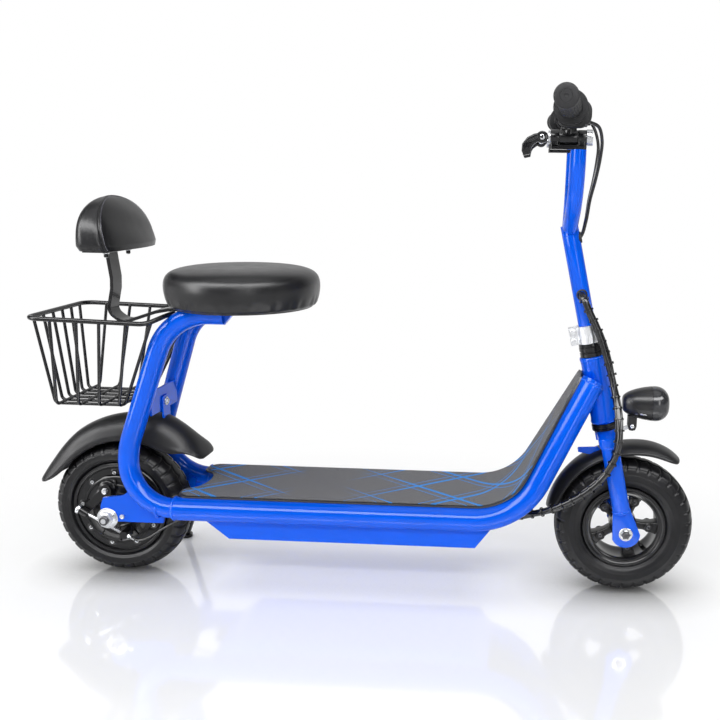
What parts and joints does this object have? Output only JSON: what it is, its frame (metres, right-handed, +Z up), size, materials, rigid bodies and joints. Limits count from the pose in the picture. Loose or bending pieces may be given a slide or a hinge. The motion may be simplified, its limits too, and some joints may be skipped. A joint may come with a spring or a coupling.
{
  "type": "seated electric scooter",
  "caption": "Seated electric scooter with a round seat and backrest, wire cargo basket, flat deck over a battery box, folding handlebar halves and a kickstand.",
  "frame": {"origin": "middle of the bounding box in plan, on the ground under the tyres", "axes": "+X forward along the scooter, +Y to the left of the rider, +Z up"},
  "size_m": [1.2242, 0.546, 0.8828],
  "materials": {
    "blue_paint": "gloss",
    "black_paint": "satin",
    "black_plastic": "satin",
    "dark_metal": "matte",
    "clamp_aluminium": "satin",
    "controller_shell": "matte",
    "bright_steel": "satin",
    "tyre_rubber": "matte",
    "grip_rubber": "matte",
    "cable_jacket": "satin",
    "button_plastic": "satin",
    "leather": "semi-gloss, grained",
    "grip_mat": "coarse, speckled",
    "lamp_lens": "gloss"
  },
  "bodies": {
    "frame": {"right_frame_tube": "blue_paint", "left_frame_tube": "blue_paint", "right_mast_tube": "blue_paint", "left_mast_tube": "blue_paint", "right_dropout": "blue_paint", "left_dropout": "blue_paint", "fender_gusset": "blue_paint", "head_tube": "blue_paint", "lower_headset": "black_paint", "upper_headset": "black_paint", "deck_plate": "dark_metal", "deck_grip_mat": "grip_mat", "battery_tray": "blue_paint", "battery_pack": "black_plastic", "motor_controller": "controller_shell", "seat_mount_plate": "blue_paint", "seat_base_board": "black_plastic", "seat_cushion": "leather", "backrest_post": "black_paint", "backrest_cushion": "leather", "cargo_basket": "black_paint", "rear_fender": "black_plastic", "rear_axle": "bright_steel", "right_axle_nut": "bright_steel", "left_axle_nut": "bright_steel", "motor_stator": "bright_steel", "brake_backing_plate": "dark_metal", "rear_brake_cable": "cable_jacket", "cable_loom": "cable_jacket"},
    "rear_wheel": {"rear_hub_shell": "black_paint", "rear_tyre": "tyre_rubber"},
    "brake_arm": {"brake_arm": "dark_metal"},
    "steering": {"front_fork": "blue_paint", "stem_tube": "blue_paint", "stem_clamp": "clamp_aluminium", "right_bar_post": "blue_paint", "left_bar_post": "blue_paint", "right_hinge_pin": "bright_steel", "left_hinge_pin": "bright_steel", "front_fender": "black_plastic", "headlight_bracket": "black_paint", "front_axle": "bright_steel", "throttle_cable": "cable_jacket", "brake_cable": "cable_jacket"},
    "front_wheel": {"front_rim": "black_paint", "front_tyre": "tyre_rubber"},
    "headlight": {"headlight_housing": "black_plastic", "headlight_lens": "lamp_lens"},
    "right_bar": {"right_handlebar": "black_paint", "throttle_housing": "black_plastic"},
    "throttle_grip": {"throttle_grip": "grip_rubber"},
    "upper_button": {"upper_button": "button_plastic"},
    "lower_button": {"lower_button": "button_plastic"},
    "left_bar": {"left_handlebar": "black_paint", "left_grip": "grip_rubber", "brake_lever_mount": "black_plastic"},
    "brake_lever": {"brake_lever": "black_paint"},
    "right_fold_lever": {"right_fold_lever": "black_paint"},
    "left_fold_lever": {"left_fold_lever": "black_paint"},
    "kickstand": {"kickstand_leg": "dark_metal"}
  },
  "joints": [
    {"name": "steering", "type": "hinge", "parent": "frame", "child": "steering", "pos_m": [0.48514, 0, 0.127], "axis": [-0.213, 0, 0.977], "range_deg": [-35, 35], "deforming": ["cable_loom"]},
    {"name": "front_wheel_spin", "type": "hinge", "parent": "steering", "child": "front_wheel", "pos_m": [0.48514, 0, 0.127], "axis": [0, 1, 0], "continuous": true},
    {"name": "rear_wheel_spin", "type": "hinge", "parent": "frame", "child": "rear_wheel", "pos_m": [-0.46086, 0, 0.127], "axis": [0, 1, 0], "continuous": true},
    {"name": "right_bar_fold", "type": "hinge", "parent": "steering", "child": "right_bar", "pos_m": [0.35714, -0.08, 0.814], "axis": [1, 0, 0], "range_deg": [0, 88], "deforming": ["throttle_cable"]},
    {"name": "left_bar_fold", "type": "hinge", "parent": "steering", "child": "left_bar", "pos_m": [0.35714, 0.08, 0.814], "axis": [-1, 0, 0], "range_deg": [0, 88], "deforming": ["brake_cable"]},
    {"name": "right_fold_lever", "type": "hinge", "parent": "steering", "child": "right_fold_lever", "pos_m": [0.31464, -0.08, 0.814], "axis": [0, 1, 0], "range_deg": [0, 100]},
    {"name": "left_fold_lever", "type": "hinge", "parent": "steering", "child": "left_fold_lever", "pos_m": [0.31464, 0.08, 0.814], "axis": [0, 1, 0], "range_deg": [0, 100]},
    {"name": "throttle_twist", "type": "hinge", "parent": "right_bar", "child": "throttle_grip", "pos_m": [0.36314, -0.08, 0.853], "axis": [-0.0952, -0.9946, 0.0423], "range_deg": [0, 70], "stiffness_Nm_per_rad": 0.25, "springref_deg": -17.19},
    {"name": "upper_button_press", "type": "slide", "parent": "right_bar", "child": "upper_button", "axis": [1, 0, 0], "range_m": [0, 0.002], "stiffness_N_per_m": 500, "springref_m": -0.002},
    {"name": "lower_button_press", "type": "slide", "parent": "right_bar", "child": "lower_button", "axis": [1, 0, 0], "range_m": [0, 0.002], "stiffness_N_per_m": 500, "springref_m": -0.002},
    {"name": "brake_lever_pull", "type": "hinge", "parent": "left_bar", "child": "brake_lever", "pos_m": [0.39714, 0.128, 0.853], "axis": [0, 0, 1], "range_deg": [0, 10], "stiffness_Nm_per_rad": 3, "springref_deg": -11.46},
    {"name": "brake_arm_turn", "type": "hinge", "parent": "frame", "child": "brake_arm", "pos_m": [-0.47686, -0.043, 0.168], "axis": [0, -1, 0], "range_deg": [0, 8], "deforming": ["rear_brake_cable"]},
    {"name": "headlight_tilt", "type": "hinge", "parent": "steering", "child": "headlight", "pos_m": [0.49314, 0, 0.313], "axis": [0, 1, 0], "range_deg": [-12, 12]},
    {"name": "kickstand", "type": "hinge", "parent": "frame", "child": "kickstand", "pos_m": [-0.35086, 0.104, 0.13], "axis": [0, -1, 0], "range_deg": [0, 100]}
  ],
  "couplings": [
    {"joint": "brake_arm_turn", "follows": "brake_lever_pull", "ratio": 0.8}
  ]
}
